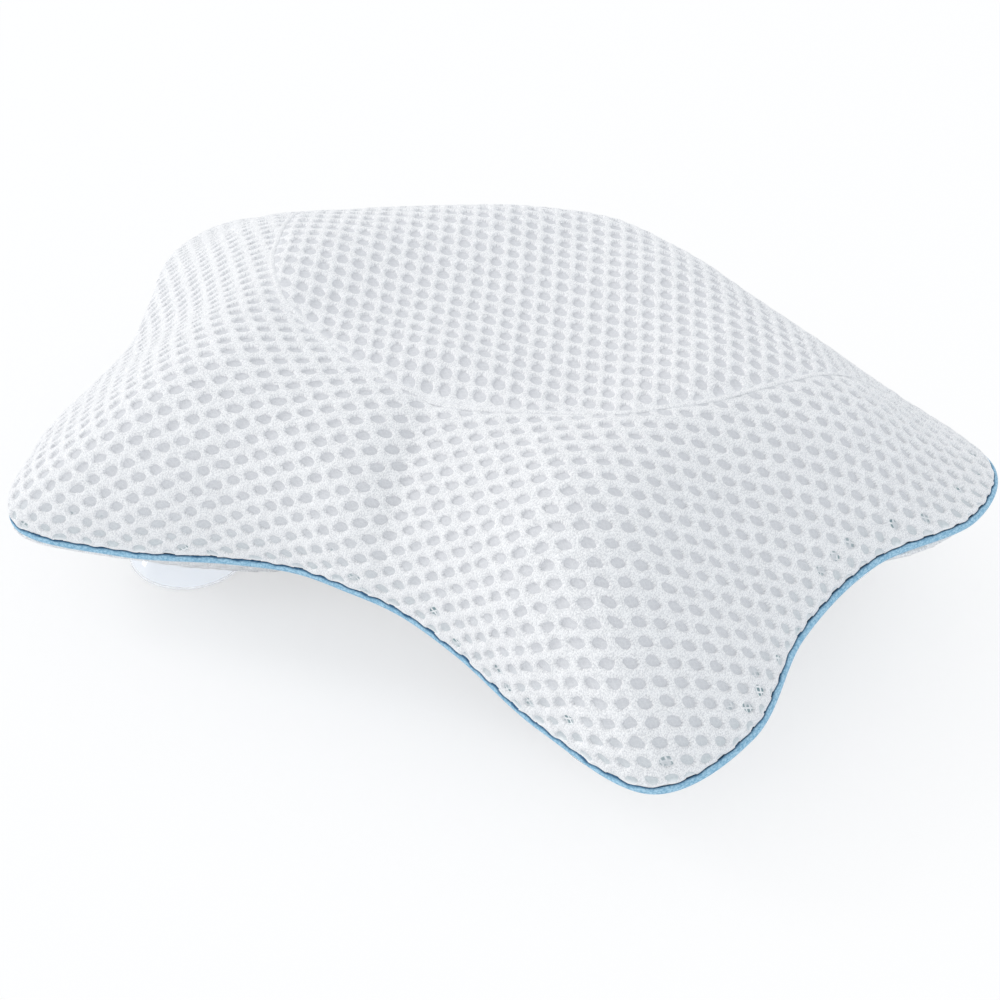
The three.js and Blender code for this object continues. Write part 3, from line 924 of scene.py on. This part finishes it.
knit = yarn_material(
    "mesh_knit",
    (0.7, 0.705, 0.72),
    (1.0, 1.0, 1.0),
    loops=12.0,
    edge=("hem", (0.94, 0.945, 0.955), (1.0, 1.0, 1.0)),
)
net = net_material("mesh_net")
tape = yarn_material(
    "piping_blue",
    (0.19, 0.41, 0.59),
    (0.44, 0.68, 0.84),
    loops=12.0,
    squeeze=0.6,
    # Painted shade: the tape is painted dark navy along the crevice under the cloth's edge
    edge=("groove_shade", (0.03, 0.1, 0.2), (0.08, 0.2, 0.34)),
)
fibre = yarn_material(
    "stuffing", (0.78, 0.78, 0.77), (0.95, 0.95, 0.94), loops=3.0, bump=0.0012, on_cloth=False
)
spacer = yarn_material(
    "spacer_pad", (0.6, 0.63, 0.65), (0.82, 0.84, 0.86), loops=4.0, bump=0.0009, on_cloth=False
)
vinyl = vinyl_material("clear_vinyl")
white = plastic_material("eyelet_white", (0.82, 0.83, 0.84), (0.9, 0.91, 0.92))


# Pieces
TOP_SIDES = 18
BASE_SIDES = 12


def fitted(piece, body, slot, *nodes):
    """A piece that rides on a body and stands for some of its CAD nodes."""
    if nodes:
        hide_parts(*nodes)
    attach(piece, body)
    return piece


cup_spots = {}
for cup in CUP_NAMES:
    low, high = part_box(f"suction_cup_{cup}")
    cup_spots[cup] = ((low.x + high.x) / 2 / MM, (low.y + high.y) / 2 / MM)
base_holes = list(cup_spots.values())

cloth = (knit, net)
front = mesh_cover("front_cover", top_place, 1, -1, FRONT_CLOTH, TOP_SIDES, cloth)
head = mesh_cover("head_cover", top_place, 1, 1, HEAD_CLOTH, TOP_SIDES, cloth)
base = mesh_cover("base_cover", base_place, -1, 0, FRONT_CLOTH, BASE_SIDES, cloth, base_holes)
for piece, stood_for in ((front, "front_panel"), (head, "head_panel"), (base, "base_panel")):
    fitted(piece, "pillow", "mesh_cloth", stood_for)


def sweep(name, line, section, material, closed=True):
    """A section of (out, up) places swept along a line of (x, y, z, outward x, outward y)."""
    count, sides = len(line), len(section)
    out, up = np.array(section).T
    x, y, z, out_x, out_y = (line[:, k, None] for k in range(5))
    points = np.stack([x + out_x * out, y + out_y * out, z + up], axis=2).reshape(-1, 3)
    faces, uv = [], []
    run = np.concatenate([[0], np.cumsum(np.linalg.norm(np.diff(line[:, :3], axis=0), axis=1))])
    closing = np.linalg.norm(line[-1, :3] - line[0, :3])
    run = np.append(run, run[-1] + closing) * UV_PER_MM
    steps = [math.dist(a, b) for a, b in zip(section, section[1:] + section[:1])]
    girth = np.concatenate([[0], np.cumsum(steps)]) * UV_PER_MM
    for i in range(count if closed else count - 1):
        a, b = i * sides, (i + 1) % count * sides
        for k in range(sides):
            n = (k + 1) % sides
            faces.append((a + k, a + n, b + n, b + k))
            v, v_next = girth[k], girth[k + 1]
            uv += [(run[i], v), (run[i], v_next), (run[i + 1], v_next), (run[i + 1], v)]
    if not closed:
        faces.append(tuple(range(sides - 1, -1, -1)))
        faces.append(tuple((count - 1) * sides + k for k in range(sides)))
        uv += [(0, 0)] * (2 * sides)
    made = make_mesh(name, points, faces, (material,))
    layer = made.data.uv_layers.new(name="Cloth")
    layer.data.foreach_set("uv", np.asarray(uv, np.float32).ravel())
    return made


TAPE_MOUTH = math.radians(140)
TAPE_SIDES = 29
# How far in mm the painted shade on the tape reaches out from the cloth's edge
GROOVE_SHADE_RUN = 0.5
PIPING_STEP = 2


def piping_section():
    """The tape round its cord, with the flat leg that is sewn in between the panels."""
    at = np.linspace(-TAPE_MOUTH, TAPE_MOUTH, TAPE_SIDES)
    ring = [(math.cos(a) * PIPING_RADIUS, math.sin(a) * PIPING_RADIUS) for a in at]
    leg = -PIPING_RADIUS - TAPE_LEG
    return [*ring, (leg, ring[-1][1]), (leg, ring[0][1])]


def painted_groove_shade():
    """How near each point of the tape is to the crevice at the cloth's edge, 1 in it: there the
    tape is painted dark as painted shade.
    """
    at = np.append(np.linspace(-TAPE_MOUTH, TAPE_MOUTH, TAPE_SIDES), [math.pi, -math.pi])
    start = np.arccos(overlap[::PIPING_STEP, None] / PIPING_RADIUS)
    return fading(np.maximum(start - at, 0) * PIPING_RADIUS, GROOVE_SHADE_RUN).ravel()


piping_run = np.hstack([outline, outwards])[::PIPING_STEP]
piping = sweep("piping", piping_run, piping_section(), tape)
# The painted shade along the tape's crevice, which the piping's material reads
groove_shade = piping.data.attributes.new("groove_shade", "FLOAT", "POINT")
groove_shade.data.foreach_set("value", painted_groove_shade().astype(np.float32))
fitted(piping, "pillow", "piping_tape", "piping_cover", "piping_cord")


FOLD_HALF_WIDTH = 1.2
FOLD_HALF_HEIGHT = 0.6
FOLD_SIDES = 12
FOLD_RIM_GAP = 1
RIPPLE_DEPTH = 0.12
RIPPLE_STEP = 1.9


def seam_fold():
    """The fold of cloth that closes the seam between the head panel and the front panel."""
    reach = rim.reach(np.arctan2(seam[:, 1], seam[:, 0]))
    line = seam[np.hypot(seam[:, 0], seam[:, 1]) < reach - FOLD_RIM_GAP]
    w = w_of(line)
    ripple = RIPPLE_DEPTH * np.sin(np.arange(len(line)) * RIPPLE_STEP)
    points = top_place(w) - normals_of(top_place, w, 1) * (SEAM_DIP + ripple)[:, None]
    step = np.gradient(line, axis=0)
    across = np.stack([step[:, 1], -step[:, 0]], axis=1)
    across /= np.linalg.norm(across, axis=1, keepdims=True)
    at = [k / FOLD_SIDES * 2 * math.pi for k in range(FOLD_SIDES)]
    section = [(math.cos(a) * FOLD_HALF_WIDTH, math.sin(a) * FOLD_HALF_HEIGHT) for a in at]
    return sweep("seam_fold", np.hstack([points, across]), section, knit, closed=False)


fitted(seam_fold(), "pillow", "mesh_cloth")


FILL_CLEARANCE = 2.2
FILL_SETTLE = 0.8
FILL_SMOOTHING = 0.6
FILL_SMOOTH_ROUNDS = 5
LUMP_WAVES = 0.21
LUMP_DEPTH = 0.3


def over_base(points):
    """The same points with those that reach through the base's cloth raised over it."""
    angle = np.arctan2(points[:, 1], points[:, 0])
    start = piping_line.reach(angle) - BASE_RUN
    share = (np.hypot(points[:, 0], points[:, 1]) - start) / (base_rim.reach(angle) - start)
    level = base_level(angle, np.clip(share, 0, 1))[0] + FILL_CLEARANCE
    raised = level + FILL_SETTLE * np.logaddexp(0, (points[:, 2] - level) / FILL_SETTLE)
    return np.column_stack([points[:, :2], raised])


def stuffing(name, source, material, grid, inset):
    """A filling: the space of its CAD solid in an even grid, swollen smooth and lumpy, and drawn in
    from the cover."""
    made = bpy.data.objects.new(name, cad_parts[source].data.copy())
    bpy.context.scene.collection.objects.link(made)
    made.data.materials.clear()
    remesh = made.modifiers.new("even", "REMESH")
    remesh.mode = "VOXEL"
    remesh.voxel_size = grid * MM
    smooth = made.modifiers.new("round", "SMOOTH")
    smooth.factor = FILL_SMOOTHING
    smooth.iterations = FILL_SMOOTH_ROUNDS
    settled = bpy.data.meshes.new_from_object(
        made.evaluated_get(bpy.context.evaluated_depsgraph_get())
    )
    made.modifiers.clear()
    made.data = settled
    points, normals = np.zeros((2, len(settled.vertices) * 3))
    settled.vertices.foreach_get("co", points)
    settled.vertices.foreach_get("normal", normals)
    points = points.reshape(-1, 3) / MM
    lump = np.sin(points * LUMP_WAVES).sum(axis=1, keepdims=True) * LUMP_DEPTH
    points = over_base(points - normals.reshape(-1, 3) * (inset + lump)) * MM
    settled.vertices.foreach_set("co", points.ravel())
    settled.polygons.foreach_set("use_smooth", np.ones(len(settled.polygons), bool))
    settled.materials.append(material)
    settled.update()
    return made


pad = stuffing("firm_pad", "base_pad", spacer, 4, 0.4)
fitted(pad, "pillow", "spacer_pad", "base_pad")
for name in ("head_fill", "left_wing_fill", "right_wing_fill"):
    made = stuffing(name.replace("fill", "stuffing"), name, fibre, 5, 1.5)
    fitted(made, "pillow", "fibre_fill", name)


BITE_SHARE = 0.4


def rounded(profile, radius, steps):
    """A profile of (radius, height) places with the corners between its ends rounded."""
    out = [profile[0]]
    for before, at, after in zip(profile, profile[1:], profile[2:]):
        at, before, after = np.array(at), np.array(before), np.array(after)
        back, on = before - at, after - at
        bite = min(radius, BITE_SHARE * np.linalg.norm(back), BITE_SHARE * np.linalg.norm(on))
        start = at + back / np.linalg.norm(back) * bite
        end = at + on / np.linalg.norm(on) * bite
        for t in np.linspace(0, 1, steps + 1):
            out.append(tuple(start * (1 - t) ** 2 + at * 2 * t * (1 - t) + end * t**2))
    return [*out, profile[-1]]


def lathe(name, profile, spot, material, sides, closed=False):
    """A profile turned about the upright line through a spot; closed joins its two ends."""
    angle = np.arange(sides) / sides * 2 * math.pi
    points, rows = [], []
    for radius, height in profile:
        if radius < 1e-6:
            rows.append([len(points)] * sides)
            points.append((spot[0], spot[1], height))
        else:
            rows.append(list(range(len(points), len(points) + sides)))
            points += [
                (spot[0] + math.cos(a) * radius, spot[1] + math.sin(a) * radius, height)
                for a in angle
            ]
    faces = []
    if closed:
        rows.append(rows[0])
    for low, high in zip(rows, rows[1:]):
        for k in range(sides):
            n = (k + 1) % sides
            face = [low[k], low[n], high[n], high[k]]
            face = [v for i, v in enumerate(face) if v not in face[:i]]
            if len(face) > 2:
                faces.append(face)
    return make_mesh(name, points, faces, (material,))


# Turned profiles as (radius, height), from the underside's middle or inner edge round to the top's
CUP_PROFILE = [
    (0, 8.0),
    (6.0, 7.85),
    (11.89, 7.2),
    (19.99, 4.64),
    (25.0, 0.35),
    (25.4, 0),
    (27.1, 0),
    (CUP_RADIUS, 0.4),
    (CUP_RADIUS, 1.0),
    (26.9, 1.5),
    (24.2, 3.84),
    (17.2, 8.64),
    (9.6, 12.24),
    (8.0, CUP_BELL_HEIGHT),
    (CUP_NECK_RADIUS, CUP_BELL_HEIGHT),
    (CUP_NECK_RADIUS, HEAD_BOTTOM),
    (CUP_HEAD_RADIUS, HEAD_BOTTOM),
    (CUP_HEAD_RADIUS, HEAD_BOTTOM + 2.0),
    (5.1, HEAD_BOTTOM + 4.2),
    (0, HEAD_BOTTOM + 5.0),
]
EYELET_PROFILE = [
    (EYELET_HOLE_RADIUS, FLANGE_BOTTOM),
    (PLATE_RADIUS, FLANGE_BOTTOM),
    (PLATE_RADIUS, FLANGE_BOTTOM + PLATE_THICKNESS),
    (EYELET_BARREL_RADIUS, FLANGE_BOTTOM + PLATE_THICKNESS),
    (EYELET_BARREL_RADIUS, LIP_BOTTOM),
    (LIP_RADIUS, LIP_BOTTOM),
    (LIP_RADIUS, LIP_BOTTOM + LIP_THICKNESS),
    (EYELET_HOLE_RADIUS, LIP_BOTTOM + LIP_THICKNESS),
]
WASHER_PROFILE = [
    (WASHER_HOLE_RADIUS, WASHER_BOTTOM),
    (PLATE_RADIUS, WASHER_BOTTOM),
    (PLATE_RADIUS, WASHER_BOTTOM + PLATE_THICKNESS),
    (WASHER_HOLE_RADIUS, WASHER_BOTTOM + PLATE_THICKNESS),
]
CUP_ROUNDING = 1.0
RING_ROUNDING = 0.2
CUP_SIDES = 96
RING_SIDES = 64


def ring_piece(name, profile, spot):
    """A plastic ring with all corners of its section rounded."""
    section = rounded([*profile, *profile[:2]], RING_ROUNDING, 2)[1:-1]
    return lathe(name, section, spot, white, RING_SIDES, closed=True)


for cup, spot in cup_spots.items():
    bell = lathe(f"cup_{cup}", rounded(CUP_PROFILE, CUP_ROUNDING, 4), spot, vinyl, CUP_SIDES)
    fitted(bell, f"cup_{cup}", "clear_vinyl", f"suction_cup_{cup}")
    eyelet = ring_piece(f"eyelet_ring_{cup}", EYELET_PROFILE, spot)
    fitted(eyelet, "pillow", "eyelet_plastic", f"eyelet_{cup}")
    washer = ring_piece(f"washer_ring_{cup}", WASHER_PROFILE, spot)
    fitted(washer, "pillow", "eyelet_plastic", f"washer_{cup}")

# Floor, light, camera
FLOOR_REACH = 3000
# Painted light on the floor: the white glow grows from the first to the second share of
# SHADOW_PALING over an oval round the pillow, at its most past these half length and half depth in
# metres
SHADOW_HALF_LENGTH = 0.3
SHADOW_HALF_DEPTH = 0.22
SHADOW_PALING = (0.58, 0.95)
KEY_PLACE = (-2.65, -0.5, 1.85)
KEY_TARGET = (0, 0, 0.06)
KEY_SIZE = 0.9
KEY_POWER = 22.5
CAMERA_AZIMUTH = math.radians(29.845)
CAMERA_ELEVATION = math.radians(39.175)
CAMERA_PLACE = (0.3251, -0.5543, 0.5417)
CAMERA_LENS = 65.31
SENSOR_WIDTH = 36


def make_floor():
    """Where the camera sees the floor, itself or through vinyl, a white glow makes it nearly white;
    near the pillow the glow is painted weaker, so the rendered shadow shows there and fades away
    from the pillow as painted light."""
    reach = FLOOR_REACH
    corners = [(-reach, -reach, 0), (reach, -reach, 0), (reach, reach, 0), (-reach, reach, 0)]
    floor = make_mesh("floor", corners, [(0, 1, 2, 3)])
    material = bpy.data.materials.new("floor")
    shading = Shading(material)
    shader = shading.nodes["Principled BSDF"]
    shader.inputs["Base Color"].default_value = (0.93, 0.935, 0.945, 1)
    shader.inputs["Roughness"].default_value = 0.9
    white_glow = shading.add("ShaderNodeEmission", in_Strength=1.0, in_Color=(0.99, 0.995, 1.0, 1))
    ray = shading.add("ShaderNodeLightPath").outputs
    directly = shading.joined("ADD", ray["Is Camera Ray"], ray["Is Glossy Ray"], use_clamp=True)
    spread = (1 / SHADOW_HALF_LENGTH, 1 / SHADOW_HALF_DEPTH, 1)
    place = shading.mapped(shading.object_place(), in_Scale=spread)
    away = shading.add("ShaderNodeVectorMath", place, operation="LENGTH").outputs["Value"]
    least, most = SHADOW_PALING
    paling = shading.stretched(away, 0.5, 1.0, in_To_Min=least, in_To_Max=most)
    paled = shading.joined("MULTIPLY", directly, paling)
    whiten = shading.joined("MAXIMUM", paled, ray["Is Transmission Ray"])
    blend = shading.add(
        "ShaderNodeMixShader", whiten, shader.outputs["BSDF"], white_glow.outputs["Emission"]
    )
    output = shading.nodes["Material Output"]
    shading.links.new(blend.outputs["Shader"], output.inputs["Surface"])
    floor.data.materials.append(material)


def make_tent():
    """A studio tent: even light from all round, a little stronger from low down than from above,
    and a little warmer and stronger from the left than from the right."""
    world = bpy.data.worlds.new("studio")
    bpy.context.scene.world = world
    shading = Shading(world)
    direction = shading.add("ShaderNodeTexCoord").outputs["Generated"]
    axes = shading.add("ShaderNodeSeparateXYZ", direction).outputs
    height = shading.stretched(axes["Z"], 0.0, 1.0)
    dome = shading.mixed(height, (1.21, 1.213, 1.225), (0.848, 0.856, 0.877))
    across = shading.stretched(axes["X"], -1.0, 1.0)
    side = shading.mixed(across, (1.03, 1.025, 1.02), (0.9, 0.94, 0.965))
    toned = shading.mixed(1.0, dome, side, blend_type="MULTIPLY")
    background = shading.nodes["Background"]
    shading.links.new(toned, background.inputs["Color"])
    background.inputs["Strength"].default_value = 1.0


def placed(name, data, place, towards):
    """A light or a camera at a place, facing along a direction."""
    made = bpy.data.objects.new(name, data)
    made.location = place
    made.rotation_mode = "QUATERNION"
    made.rotation_quaternion = towards.to_track_quat("-Z", "Y")
    bpy.context.scene.collection.objects.link(made)
    return made


def make_key_light():
    light = bpy.data.lights.new("key", "AREA")
    light.shape = "SQUARE"
    light.size = KEY_SIZE
    light.energy = KEY_POWER
    light.color = (1, 1, 1)
    placed("key", light, KEY_PLACE, Vector(KEY_TARGET) - Vector(KEY_PLACE))


def make_camera():
    """The camera of the photograph, looking down at the front right of the pillow."""
    level = math.cos(CAMERA_ELEVATION)
    back = Vector(
        (
            math.sin(CAMERA_AZIMUTH) * level,
            -math.cos(CAMERA_AZIMUTH) * level,
            math.sin(CAMERA_ELEVATION),
        )
    )
    data = bpy.data.cameras.new("camera")
    data.sensor_width = SENSOR_WIDTH
    data.lens = CAMERA_LENS
    bpy.context.scene.camera = placed("camera", data, CAMERA_PLACE, -back)


make_floor()
make_tent()
make_key_light()
make_camera()
bpy.context.scene.view_settings.view_transform = "Standard"
